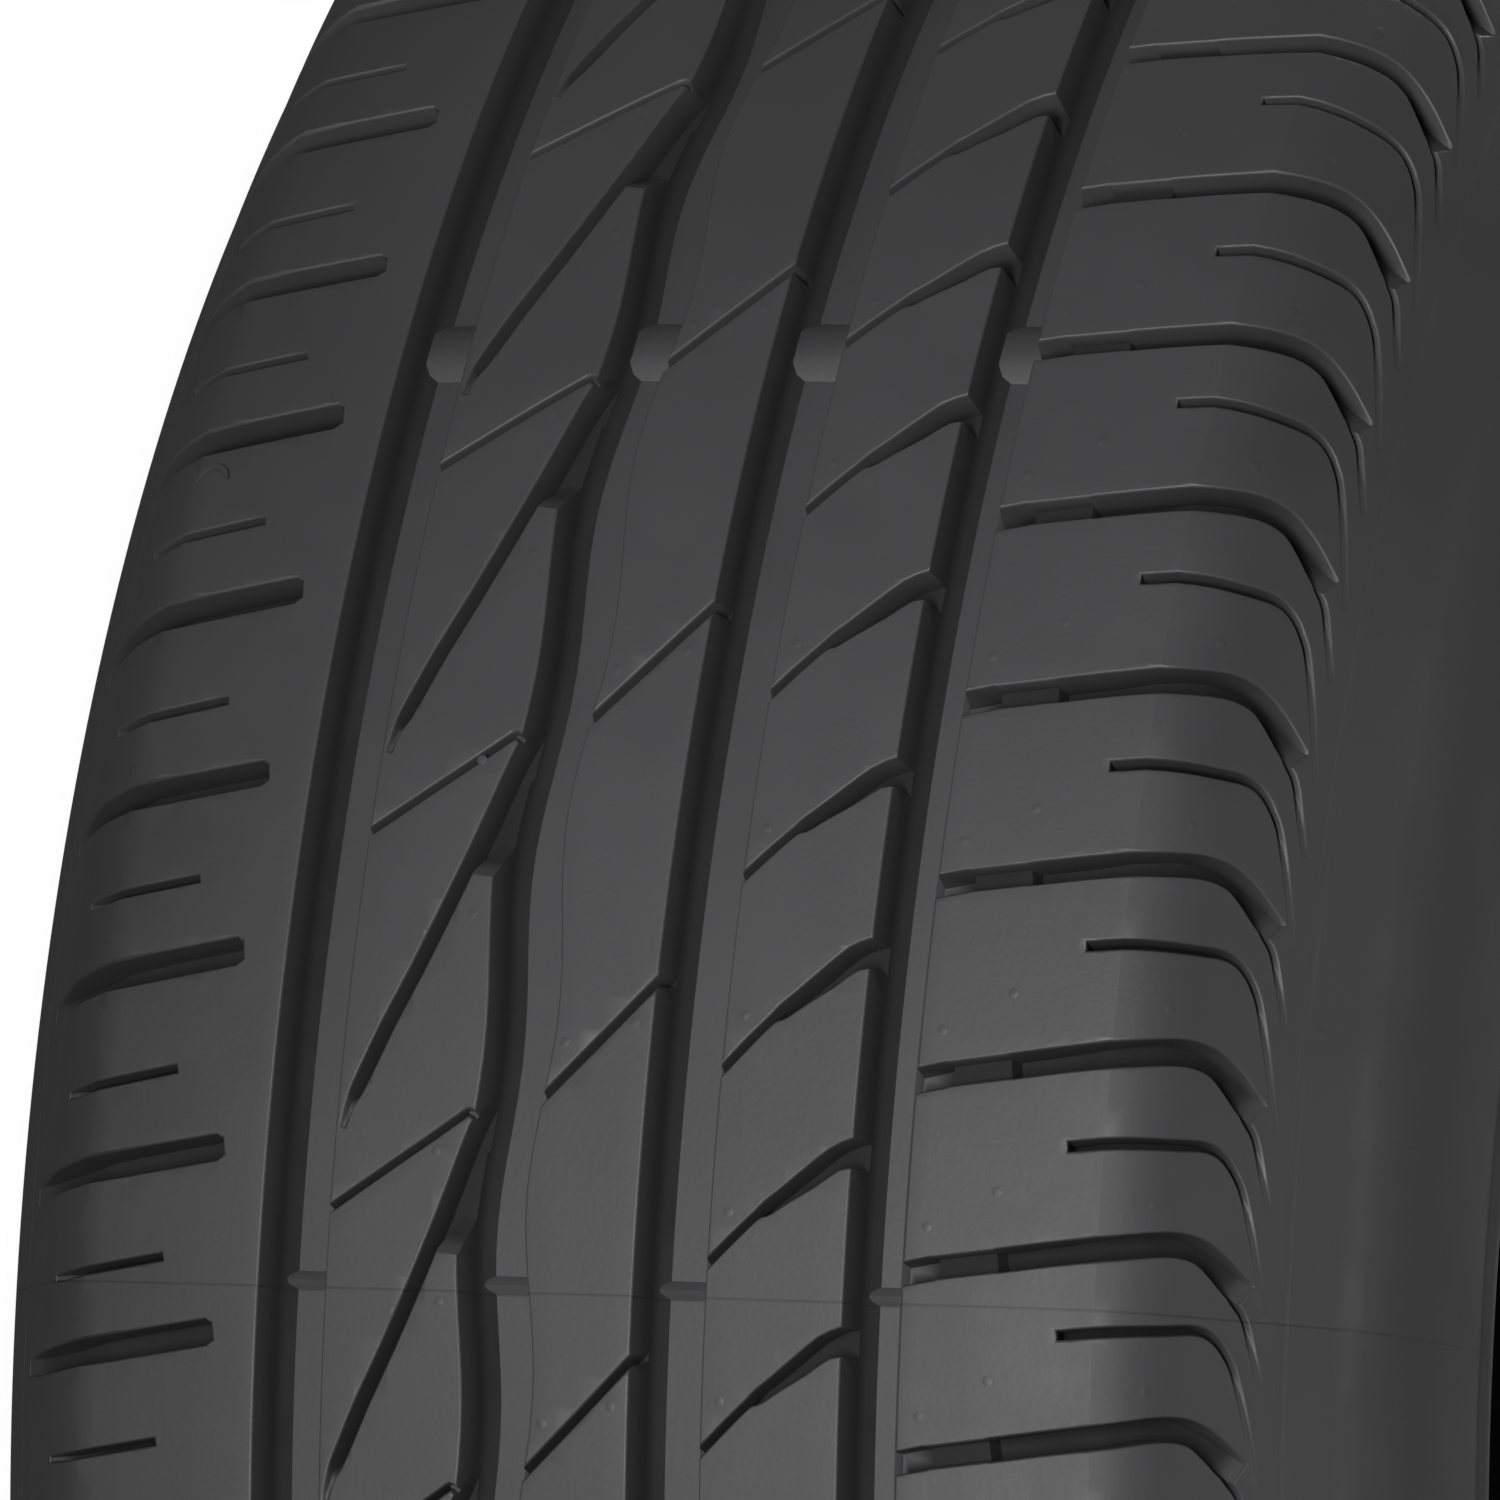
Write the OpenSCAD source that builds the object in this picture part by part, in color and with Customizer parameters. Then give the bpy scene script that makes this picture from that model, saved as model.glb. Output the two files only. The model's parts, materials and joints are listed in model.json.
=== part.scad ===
// Radial car tyre, one moulded piece, lying on its sidewall.
// The spin axis is Z and the origin is the centre of the wheel.
// A height is measured along Z from the middle of the tread, and the four grooves are counted upwards.

/* [Overall] */
// Diameter over the tread
overall_d = 643; // [632:1:656]
// Width across the sidewalls
section_w = 226; // [222:1:234]
// Diameter of the bead seats
bead_seat_d = 405.6; // [400:0.2:410]
// Distance between the outer faces of the two beads
bead_spread = 184; // [176:1:190]

/* [Crown] */
// Radius of the crown across its middle
crown_r = 1850; // [1200:10:2600]
// Height at which the crown starts to fall away
crown_turn = 51; // [48:1:56]
// Radius of the crown beyond that
crown_side_r = 390; // [330:5:600]
// Height at which the rounded shoulder starts
shoulder_z = 78; // [76:0.5:80]
// Radius of the shoulder
shoulder_r = 14; // [11:0.5:16]
// Slope of the buttress at the foot of the shoulder, in degrees
buttress_tilt = 53.3; // [50:0.1:56]
// Depth below the tread at which the buttress meets the sidewall, as a share of the section height
buttress_share = 0.3117; // [0.29:0.0001:0.35]

/* [Sidewall] */
// Distance of the widest point above the bead seat, as a share of the section height
widest_share = 0.48; // [0.44:0.005:0.52]
// Radius of the sidewall above its widest point
upper_bulge_r = 87; // [75:1:110]
// Radius of the sidewall below its widest point
lower_bulge_r = 160; // [120:5:260]
// Distance of the rim protector above the bead seat, as a share of the section height
protector_share = 0.2275; // [0.2:0.0025:0.25]
// Thickness of the sidewall where it is widest
sidewall_t = 7.5; // [6:0.5:9]
// Thickness of rubber and cords under the crown
tread_t = 14.5; // [12.5:0.5:17]

/* [Bead] */
// Radius of the bead heel
heel_r = 6.5; // [5:0.5:8]
// Width of the bead seat with its toe
bead_base_w = 14; // [12:0.5:16]
// Bevel of the bead toe
toe_bevel = 1.5; // [1:0.1:2.5]

/* [Grooves] */
// Depth of the four grooves round the tyre
groove_depth = 7.8; // [7:0.1:8.5]
// Draft of the groove walls in degrees
groove_draft = 8; // [3:1:12]
// Height of the foot fillet in a groove
groove_foot = 2; // [1:0.1:2.5]
// Height of the lower edge of the first groove
groove1_z = -52; // [-54:0.5:-50]
// Width of the first groove
groove1_w = 11; // [9:0.5:12]
// Height of the lower edge of the second, waved groove
groove2_z = -18.5; // [-20:0.5:-17]
// Width of the second groove
groove2_w = 10.9; // [9.5:0.1:12]
// Depth of the wave in the sides of the second groove
wave = 2.6; // [1:0.1:3]
// Height of the lower edge of the third groove
groove3_z = 9.4; // [8:0.2:11]
// Width of the third groove
groove3_w = 11.5; // [9:0.5:12.5]
// Height of the lower edge of the fourth groove
groove4_z = 43; // [41:0.5:45]
// Width of the fourth groove
groove4_w = 9; // [7:0.5:10]

/* [Pattern] */
// Times that the row of pitches repeats round the tyre
pitch_rows = 5; // [4:1:6]
// Length of a long pitch against a short one
long_pitch = 1.086; // [1:0.002:1.15]
// Depth of the slots across the ribs
slot_depth = 6; // [5:0.1:6.5]
// Width of the wide slots
slot_w = 3.6; // [2.6:0.1:4.2]
// Width of the diagonal slots
diagonal_w = 2.2; // [1.5:0.1:3]
// Width of the thin sipes
sipe_w = 1; // [0.8:0.1:1.4]
// Distance down the buttress at which the slots run out
slot_run_out = 19.5; // [17:0.5:21]

/* [Bars] */
// Height of the wear bars in the grooves
wear_bar_h = 1.6; // [1.2:0.1:2.5]
// Length of a wear bar round the tyre
wear_bar_len = 11; // [8:0.5:14]
// Distance round the tyre from the first pitch to the first wear bar
wear_bar_start = 150.2; // [130:0.2:170]
// Wear bars round the tyre
wear_bars = 6; // [4:1:8]
// Length of the bar that the joint of two mould segments leaves in a groove
joint_bar_len = 3; // [2:0.5:5]
// Distance round the tyre from the first pitch to the first joint bar
joint_bar_start = 4.9; // [0:0.1:10]
// Mould segments round the tyre
mould_segments = 8; // [6:1:10]

/* [Hidden] */
$fn = 96;
rubber = "#3a3a3c";

tread_r = overall_d / 2;
half_w = section_w / 2;
seat_r = bead_seat_d / 2;
bead_z = bead_spread / 2;
toe_z = bead_z - heel_r - bead_base_w;
section_h = tread_r - seat_r;
widest_r = seat_r + widest_share * section_h;
protector_rise = protector_share * section_h;
protector_r = seat_r + protector_rise;
groove1_top = groove1_z + groove1_w;
groove2_top = groove2_z + groove2_w;
groove3_top = groove3_z + groove3_w;
groove4_top = groove4_z + groove4_w;

// Outlines are lists of [radius, height]. The crown is two arcs, and the second starts at crown_turn.
turn_angle = asin(crown_turn / crown_r);
side_z = crown_turn - crown_side_r * sin(turn_angle);
side_r = tread_r - crown_r * (1 - cos(turn_angle)) - crown_side_r * cos(turn_angle);
function crown_at(z) = abs(z) <= crown_turn
    ? tread_r - crown_r + sqrt(crown_r * crown_r - z * z)
    : side_r + sqrt(crown_side_r * crown_side_r - (abs(z) - side_z) * (abs(z) - side_z));
function crown_point(z) = [crown_at(z), z];

// The shoulder is an arc tangent to the crown, up to the slope of the buttress
shoulder_angle = asin((shoulder_z - side_z) / crown_side_r);
shoulder_centre = crown_point(shoulder_z) - shoulder_r * [cos(shoulder_angle), sin(shoulder_angle)];
function shoulder_point(a) = shoulder_centre + shoulder_r * [cos(a), sin(a)];

// The sidewall bulges to its widest point, and the buttress is straight
function bulge_point(r, bulge_r) =
    [r, half_w - bulge_r + sqrt(bulge_r * bulge_r - (r - widest_r) * (r - widest_r))];
buttress_top = shoulder_point(buttress_tilt);
buttress_foot = bulge_point(tread_r - buttress_share * section_h, upper_bulge_r);
buttress_dir = (buttress_foot - buttress_top) / norm(buttress_foot - buttress_top);
function buttress_point(d) = buttress_top + d * buttress_dir;
function buttress_z(d) = buttress_point(d)[1];

// The mould line is where the tread ring of the mould meets its sidewall plate
mould_line = buttress_point(slot_run_out + 4);

function steps(a, b, count) = [for (k = [1:count]) a + (b - a) * k / count];
crown_side = [for (z = steps(crown_turn, shoulder_z, 2)) crown_point(z)];
shoulder_arc = [for (a = steps(shoulder_angle, buttress_tilt, 3)) shoulder_point(a)];
upper_bulge = [for (r = steps(buttress_foot[0], widest_r, 4)) bulge_point(r, upper_bulge_r)];
lower_bulge = [for (r = steps(widest_r, protector_r, 4)) bulge_point(r, lower_bulge_r)];
protector_edge = bulge_point(protector_r, lower_bulge_r);
protector = [
    protector_edge + [-0.15 * protector_rise, 0.2],
    protector_edge + [-0.3 * protector_rise, -0.9],
    protector_edge + [-0.44 * protector_rise, -4],
    protector_edge + [-0.57 * protector_rise, -9],
    [protector_r - 0.65 * protector_rise, bead_z + 1]
];
heel = [for (a = [0:30:90]) [seat_r + heel_r * (1 - sin(a)), bead_z - heel_r * (1 - cos(a))]];
toe = [[seat_r, toe_z + toe_bevel], [seat_r + toe_bevel, toe_z]];

// The inner surface, from the bead toe up the sidewall to under the tread
liner_r = tread_r - tread_t;
liner_z = half_w - sidewall_t;
liner = [
    [seat_r + 7, toe_z - 0.5],
    [seat_r + 14, toe_z + 3],
    [protector_r - 6, liner_z - 9],
    [protector_r + 6, liner_z - 3.5],
    [widest_r - 12, liner_z - 0.8],
    [widest_r, liner_z],
    [widest_r + 12, liner_z - 1.8],
    [buttress_foot[0] - 1.5, liner_z - 7],
    [buttress_top[0] - 19.5, buttress_top[1] + 2.3],
    [liner_r - 7, shoulder_z + 2],
    [liner_r - 4, shoulder_z - 14],
    [liner_r - 0.8, shoulder_z - 40],
    [liner_r, 0]
];

// The carcass is what the grooves leave: the ribs stand on it and reach lap into it
lap = 1.5;
base = [
    crown_point(0) - [groove_depth, 0],
    crown_point(crown_turn) - [groove_depth, 0],
    crown_point(shoulder_z) - [groove_depth + 1, 8],
    buttress_top - [9, 7]
];
outside = concat(base, [mould_line, buttress_foot], upper_bulge, lower_bulge, protector, heel, toe);
half_section = concat(outside, liner);
function mirrored(points) = [
    for (k = [len(points) - 1:-1:0]) if (points[k][1] != 0) [points[k][0], -points[k][1]]
];
module carcass() {
    rotate_extrude()
        polygon(concat(half_section, mirrored(half_section)));
}

// A groove wall slants by its draft and ends in a foot, written from the rib's edge outwards
draft_run = (groove_depth - groove_foot) * tan(groove_draft);
foot_run = draft_run + groove_foot * 0.8;
function wall(z, side) = [
    crown_point(z),
    crown_point(z) + [groove_foot - groove_depth, side * draft_run],
    crown_point(z) + [-groove_depth, side * foot_run],
    crown_point(z) + [-groove_depth - lap, side * foot_run]
];
function reversed(points) = [for (k = [len(points) - 1:-1:0]) points[k]];

// A rib between two grooves
module rib(low, high) {
    rotate_extrude()
        polygon(concat(reversed(wall(low, -1)), wall(high, 1)));
}

// A shoulder, from the edge of its groove to the mould line, on the upper side or turned over
module shoulder(edge, side) {
    outline = concat(
        reversed(wall(edge, -1)),
        crown_side,
        shoulder_arc,
        [mould_line, mould_line - [5, 3]],
        [buttress_top - [9 + lap, 7 + lap], crown_point(shoulder_z) - [groove_depth + 1 + lap, 8]]
    );
    rotate_extrude()
        polygon([for (p = outline) [p[0], side * p[1]]]);
}

// Pitches follow each other clockwise seen from above: 0 is short and 1 is long
pitch_row = [0, 1, 0, 1, 1, 0, 1, 0, 0, 0, 1, 0, 0, 0];
row_len = len(pitch_row);
pitch_count = pitch_rows * row_len;
function stretch(n) = pitch_row[n % row_len] == 1 ? long_pitch : 1;
function units_before(n) = n == 0 ? 0 : units_before(n - 1) + stretch(n - 1);
row_units = units_before(row_len);
unit_angle = 360 / pitch_rows / row_units;
unit_len = unit_angle * PI / 180 * tread_r;
function pitch_start(n) = (floor(n / row_len) * row_units + units_before(n % row_len)) * unit_angle;
function pitch_len(n) = stretch(n) * unit_len;
function arc_angle(u) = u / tread_r * 180 / PI;

// The outline of a slot that follows a path of [distance round the tyre, height], with a width at each point
function path_dir(path, k) = let (a = path[max(k - 1, 0)], b = path[min(k + 1, len(path) - 1)])
    (b - a) / norm(b - a);
function edge_point(path, widths, k, side) = let (d = path_dir(path, k))
    path[k] + side * widths[k] / 2 * [-d[1], d[0]];
function ribbon(path, widths) = concat(
    [for (k = [0:len(path) - 1]) edge_point(path, widths, k, 1)],
    [for (k = [len(path) - 1:-1:0]) edge_point(path, widths, k, -1)]
);

// A cut straight down to a flat floor. Its outline is measured from the start of the pitch, and mid is
// the distance round the tyre at which the cut is square to the tread.
above_tread = tread_r + 5;
module cut_down(start, mid, floor_r, outline) {
    rotate([0, 0, -start - arc_angle(mid)])
        rotate([90, 0, 90])
            translate([0, 0, floor_r])
                linear_extrude(height = above_tread - floor_r)
                    polygon([for (p = outline) [mid - p[0], p[1]]]);
}
rib_floor = tread_r - slot_depth;
wave_floor = tread_r - groove_depth + 0.4;

// A cut through a shoulder, with a floor that follows the crown and runs out on the buttress
run_out = buttress_point(slot_run_out);
shoulder_floor = [
    [crown_at(crown_turn) - slot_depth, crown_turn - 10],
    [crown_at(shoulder_z) - slot_depth, shoulder_z - 2],
    buttress_top - slot_depth * [0.9, 0.6],
    run_out,
    run_out + [4, 6],
    [above_tread, run_out[1] + 6],
    [above_tread, crown_turn - 10]
];
module cut_shoulder(start, mid, side, outline) {
    rotate([0, 0, -start - arc_angle(mid)])
        intersection() {
            rotate([90, 0, 90])
                linear_extrude(height = above_tread)
                    polygon([for (p = outline) [mid - p[0], p[1]]]);
            rotate([90, 0, 0])
                linear_extrude(height = 2 * unit_len, center = true)
                    polygon([for (p = shoulder_floor) [p[0], side * p[1]]]);
        }
}

// Cuts of one pitch, of length len
module lower_slot(start, len) {
    path = [[-0.26 * len, -buttress_z(1)], [-0.085 * len, groove1_z - 7.5]];
    cut_shoulder(start, -0.16 * len, -1, ribbon(path, [slot_w, slot_w]));
}
module lower_sipe(start, len) {
    path = [[0.205 * len, -shoulder_z - 8], [0.32 * len, -shoulder_z + 9.5]];
    floor_r = crown_at(shoulder_z) - slot_depth / 2;
    cut_down(start, 0.26 * len, floor_r, ribbon(path, [sipe_w, sipe_w]));
}
module upper_slot(start, len) {
    path = [
        [0.33 * len, groove4_top - 2],
        [0.436 * len, groove4_top + 14.5],
        [0.56 * len, buttress_z(0)],
        [0.54 * len, buttress_z(8)],
        [0.29 * len, buttress_z(17.5)]
    ];
    cut_shoulder(start, 0.45 * len, 1, ribbon(path, slot_w * [1, 1, 1.05, 1.1, 1]));
}
module upper_sipe(start, len) {
    path = [
        [0.04 * len, shoulder_z - 1.5],
        [0.11 * len, buttress_z(6)],
        [0, buttress_z(13)],
        [-0.45 * len, buttress_z(18)]
    ];
    cut_shoulder(start, -0.1 * len, 1, ribbon(path, sipe_w * [1.3, 1.3, 1, 0.7]));
}
module comma_slot(start, len) {
    path = [
        [0.305 * len, groove3_top - 1],
        [0.63 * len, groove4_z - 13.4],
        [0.82 * len, groove4_z - 7],
        [0.97 * len, groove4_z + 2]
    ];
    cut_down(start, 0.65 * len, rib_floor, ribbon(path, [sipe_w, sipe_w * 1.3, slot_w * 0.9, slot_w * 1.2]));
}

// Cuts of one pair of pitches, of length len
module diagonal_slot(start, len) {
    foot = groove1_top + 1.5;
    rise = groove2_z + 1 - foot;
    path = [
        [0.03 * len, foot],
        [0.3 * len, foot + 0.27 * rise],
        [0.94 * len, foot + 0.91 * rise],
        [1.035 * len, foot + rise]
    ];
    cut_down(start, 0.53 * len, rib_floor, ribbon(path, diagonal_w * [0.4, 1.1, 1, 1]));
}
module diagonal_sipe(start, len) {
    path = [[-0.18 * len, groove1_top + 0.5], [0.09 * len, groove2_z + 1]];
    cut_down(start, -0.07 * len, rib_floor, ribbon(path, [sipe_w, sipe_w]));
}
module plain_sipe(start, len) {
    path = [[0.107 * len, groove2_top + 0.1], [0.43 * len, groove3_z + 1]];
    cut_down(start, 0.26 * len, rib_floor, ribbon(path, [sipe_w, sipe_w]));
}
module lower_wave(start, len) {
    beyond_foot = groove2_z + wave + foot_run + 0.5;
    cut_down(start, 0.37 * len, wave_floor, [
        [-0.02 * len, beyond_foot],
        [0, groove2_z],
        [0.25 * len, groove2_z + wave * 0.35],
        [0.68 * len, groove2_z - wave * 0.4],
        [0.76 * len, groove2_z],
        [0.79 * len, beyond_foot]
    ]);
}
module upper_wave(start, len) {
    beyond_foot = groove2_top - wave / 2 - foot_run - 0.5;
    cut_down(start, 0.34 * len, wave_floor, [
        [-0.11 * len, beyond_foot],
        [0.08 * len, groove2_top],
        [0.34 * len, groove2_top + wave * 0.5],
        [0.6 * len, groove2_top],
        [0.79 * len, beyond_foot]
    ]);
}

// The five ribs, from the lowest up
module lower_shoulder_rib() {
    difference() {
        shoulder(-groove1_z, -1);
        for (n = [0:pitch_count - 1]) {
            lower_slot(pitch_start(n), pitch_len(n));
            lower_sipe(pitch_start(n), pitch_len(n));
        }
    }
}
module diagonal_rib() {
    difference() {
        rib(groove1_top, groove2_z + wave);
        for (n = [1:2:pitch_count - 1]) {
            len = pitch_len(n) + pitch_len(n + 1);
            diagonal_slot(pitch_start(n), len);
            diagonal_sipe(pitch_start(n), len);
            lower_wave(pitch_start(n), len);
        }
    }
}
module plain_rib() {
    difference() {
        rib(groove2_top - wave / 2, groove3_z);
        for (n = [1:2:pitch_count - 1]) {
            len = pitch_len(n) + pitch_len(n + 1);
            plain_sipe(pitch_start(n), len);
            upper_wave(pitch_start(n), len);
        }
    }
}
module comma_rib() {
    difference() {
        rib(groove3_top, groove4_z);
        for (n = [0:pitch_count - 1])
            comma_slot(pitch_start(n), pitch_len(n));
    }
}
module upper_shoulder_rib() {
    difference() {
        shoulder(groove4_top, 1);
        for (n = [0:pitch_count - 1]) {
            upper_slot(pitch_start(n), pitch_len(n));
            upper_sipe(pitch_start(n), pitch_len(n));
        }
    }
}

// Bars across the groove floors, from the first groove to the fourth, count of them round the tyre
module groove_bars(first, len, height, count) {
    low = groove1_z - 1;
    high = groove4_top + 1;
    for (k = [0:count - 1])
        rotate([0, 0, -arc_angle(first + len) - k * 360 / count])
            rotate_extrude(angle = arc_angle(len))
                polygon([
                    [crown_at(low) - groove_depth - lap, low],
                    [crown_at(low) - groove_depth + height, low],
                    [crown_at(0) - groove_depth + height, 0],
                    [crown_at(high) - groove_depth + height, high],
                    [crown_at(high) - groove_depth - lap, high]
                ]);
}

module tyre() {
    color(rubber) {
        carcass();
        lower_shoulder_rib();
        diagonal_rib();
        plain_rib();
        comma_rib();
        upper_shoulder_rib();
        groove_bars(wear_bar_start, wear_bar_len, wear_bar_h, wear_bars);
        groove_bars(joint_bar_start, joint_bar_len, wear_bar_h * 0.6, mould_segments);
    }
}

tyre();
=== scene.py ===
import json
import math
import bmesh
import bpy
from mathutils import Matrix, Vector

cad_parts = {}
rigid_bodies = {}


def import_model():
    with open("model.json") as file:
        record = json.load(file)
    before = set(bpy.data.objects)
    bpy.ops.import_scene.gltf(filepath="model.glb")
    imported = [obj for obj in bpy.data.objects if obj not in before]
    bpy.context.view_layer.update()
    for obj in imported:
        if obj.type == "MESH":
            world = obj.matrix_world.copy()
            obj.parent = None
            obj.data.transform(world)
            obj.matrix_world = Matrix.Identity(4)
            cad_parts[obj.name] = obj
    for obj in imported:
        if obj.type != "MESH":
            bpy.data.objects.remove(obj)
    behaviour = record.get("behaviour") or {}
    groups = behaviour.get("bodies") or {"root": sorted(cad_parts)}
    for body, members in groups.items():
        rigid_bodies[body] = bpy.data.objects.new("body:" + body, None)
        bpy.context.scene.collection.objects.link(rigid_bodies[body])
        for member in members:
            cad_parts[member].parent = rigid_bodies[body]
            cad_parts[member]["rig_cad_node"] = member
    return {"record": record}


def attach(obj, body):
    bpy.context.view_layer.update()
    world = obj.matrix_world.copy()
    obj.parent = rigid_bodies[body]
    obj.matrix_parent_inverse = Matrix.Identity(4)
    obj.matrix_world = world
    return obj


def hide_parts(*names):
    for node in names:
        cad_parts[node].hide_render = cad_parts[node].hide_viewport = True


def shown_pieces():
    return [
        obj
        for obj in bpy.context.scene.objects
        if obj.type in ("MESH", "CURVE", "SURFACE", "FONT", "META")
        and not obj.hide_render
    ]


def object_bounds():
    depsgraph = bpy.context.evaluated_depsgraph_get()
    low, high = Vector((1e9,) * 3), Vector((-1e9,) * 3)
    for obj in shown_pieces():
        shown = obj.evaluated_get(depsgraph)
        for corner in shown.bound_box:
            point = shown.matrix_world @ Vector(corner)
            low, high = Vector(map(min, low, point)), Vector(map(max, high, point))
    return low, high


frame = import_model()
cadLow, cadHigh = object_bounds()
print("frame loaded")

# A car tyre that lies on its sidewall, spin axis along Z. Lengths are in millimetres until a mesh is finished.
# A point of the tread has three numbers: the distance round the tyre, the distance across the tread from its
# middle, measured along the surface, and the rise above the surface.
mm = 0.001
treadRadius = (cadHigh.x - cadLow.x) / 2 / mm
halfWidth = (cadHigh.z - cadLow.z) / 2 / mm
seatRadius = frame["record"]["mounts"][0]["dims"]["r_mm"]

section = {
    "crownRadius": 1850,        # across the middle of the tread
    "crownLength": 51,
    "sideRadius": 390,          # where the crown starts to fall away
    "sideLength": 30.9,
    "edgeSlope": 22,            # degrees, just past the low edge at the end of the crown
    "shoulderRadius": 24,
    "shoulderLength": 14.4,
    "sinkStart": 70,            # from here slots turn from square to the crown to square to the buttress
    "sinkEnd": 98,
    "mouldLine": 114,           # where the tread ring of the mould meets its sidewall plate
    "footAcross": 126,          # where the buttress meets the sidewall
    "grooveDepth": 7.8,
    "grooveDraft": 8,
    "grooveFoot": 2.3,          # radius between the wall of a groove and its floor
    "footAngles": (25, 50, 72, 87),
    "ribDepth": 9.3,            # ribs reach a little into the carcass
    "edgeRound": 0.45,
    "sharpAngle": 50,
}
# painted shade: the rubber colour is darkened deeper in slots and grooves, except on one wall of each groove
paintedShade = {
    "darkFrom": 0.3,            # depths at which the painted shade starts and is darkest
    "darkTo": 3,
    "litReach": 4,              # how far the wall on the lower side of a rib, which is left without painted shade as if lit, goes out and in from its edge
    "litPast": 0.1,
}
litReach, litPast = paintedShade["litReach"], paintedShade["litPast"]
grooveEdges = [(-52, -41), (-18.5, -7.6), (9.4, 20.9), (43, 52)]
pitchRow = [0, 1, 0, 1, 1, 0, 1, 0, 0, 0, 1, 0, 0, 0]       # 0 is short and 1 is long
pitchRows = 5
longPitch = 1.086
tilePitch = 28.86               # length of a pitch before it is fitted round the tyre
tilePair = 2 * tilePitch

crownTurn = section["crownLength"] / section["crownRadius"]
sideTurn = crownTurn + section["sideLength"] / section["sideRadius"]
edgeTurn = math.radians(section["edgeSlope"])
buttressTurn = edgeTurn + section["shoulderLength"] / section["shoulderRadius"]
crownEnd = section["crownLength"] + section["sideLength"]
shoulderEnd = crownEnd + section["shoulderLength"]


def arcEnd(radius, height, start, end, bend):
    # the far end of an arc that turns from one slope to another
    return radius - bend * (math.cos(start) - math.cos(end)), height + bend * (math.sin(end) - math.sin(start))


def surfaceAt(across):
    # radius, height and slope of the surface at a distance across from the middle
    s = abs(across)
    slope = min(s, section["crownLength"]) / section["crownRadius"]
    radius, height = arcEnd(treadRadius, 0, 0, slope, section["crownRadius"])
    if s > section["crownLength"]:
        slope = crownTurn + (min(s, crownEnd) - section["crownLength"]) / section["sideRadius"]
        radius, height = arcEnd(radius, height, crownTurn, slope, section["sideRadius"])
    if s > crownEnd:
        slope = edgeTurn + (min(s, shoulderEnd) - crownEnd) / section["shoulderRadius"]
        radius, height = arcEnd(radius, height, edgeTurn, slope, section["shoulderRadius"])
    if s > shoulderEnd:
        radius -= (s - shoulderEnd) * math.sin(slope)
        height += (s - shoulderEnd) * math.cos(slope)
    return radius, math.copysign(height, across), math.copysign(slope, across)


def ease(value, low, high):
    share = min(max((value - low) / (high - low), 0), 1)
    return share * share * (3 - 2 * share)


def sectionPoint(across, rise):
    # radius and height of a point at a rise above the surface, or below it where the rise is negative
    radius, height, slope = surfaceAt(across)
    if abs(across) > section["sinkStart"]:
        start = surfaceAt(section["sinkStart"])[2]
        share = ease(abs(across), section["sinkStart"], section["sinkEnd"])
        slope = math.copysign(start + (buttressTurn - start) * share, across)
    return radius + rise * math.cos(slope), height + rise * math.sin(slope)


def newPiece(name, bm):
    bmesh.ops.recalc_face_normals(bm, faces=bm.faces)
    openEdges = sum(len(edge.link_faces) != 2 for edge in bm.edges)
    mesh = bpy.data.meshes.new(name)
    bm.to_mesh(mesh)
    bm.free()
    mesh.transform(Matrix.Scale(mm, 4))
    piece = bpy.data.objects.new(name, mesh)
    bpy.context.scene.collection.objects.link(piece)
    mesh.shade_smooth()
    mesh.set_sharp_from_angle(angle=math.radians(section["sharpAngle"]))
    crease, near = surfaceAt(crownEnd), 0.02         # the tread meets the upper shoulder in a sharp edge
    onCrease = [abs(v.co.z / mm - crease[1]) < near and v.co.xy.length / mm > crease[0] - near
                for v in mesh.vertices]
    for edge in mesh.edges:
        if all(onCrease[n] for n in edge.vertices):
            edge.use_edge_sharp = True
    weighted = piece.modifiers.new("normals", "WEIGHTED_NORMAL")
    weighted.keep_sharp = True
    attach(piece, "root")
    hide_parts("tyre")
    mesh.calc_loop_triangles()
    print(name, len(mesh.loop_triangles), "triangles,", openEdges, "open edges")


def curveThrough(rows, steps):
    # a smooth curve through rows of numbers, in which every number of a row is eased the same way
    points = []
    for k in range(len(rows) - 1):
        a, b, c, d = (Vector(rows[min(max(k + j, 0), len(rows) - 1)]) for j in (-1, 0, 1, 2))
        for step in range(steps):
            t = step / steps
            points.append(b + 0.5 * t * (c - a + t * (2 * a - 5 * b + 4 * c - d + t * (3 * (b - c) + d - a))))
    return points + [Vector(rows[-1])]


cutterLevels = [
    # rise of a level, and how much wider the cutter is there, so that it leaves a rounded edge
    (1.5, 0.7),
    (0.06, 0.5),
    (-0.13, 0.18),
    (-0.46, 0),
]
narrowest = 0.12        # least half width of a cutter
barStation = 4.8        # distance between the stations of a bar


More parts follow.
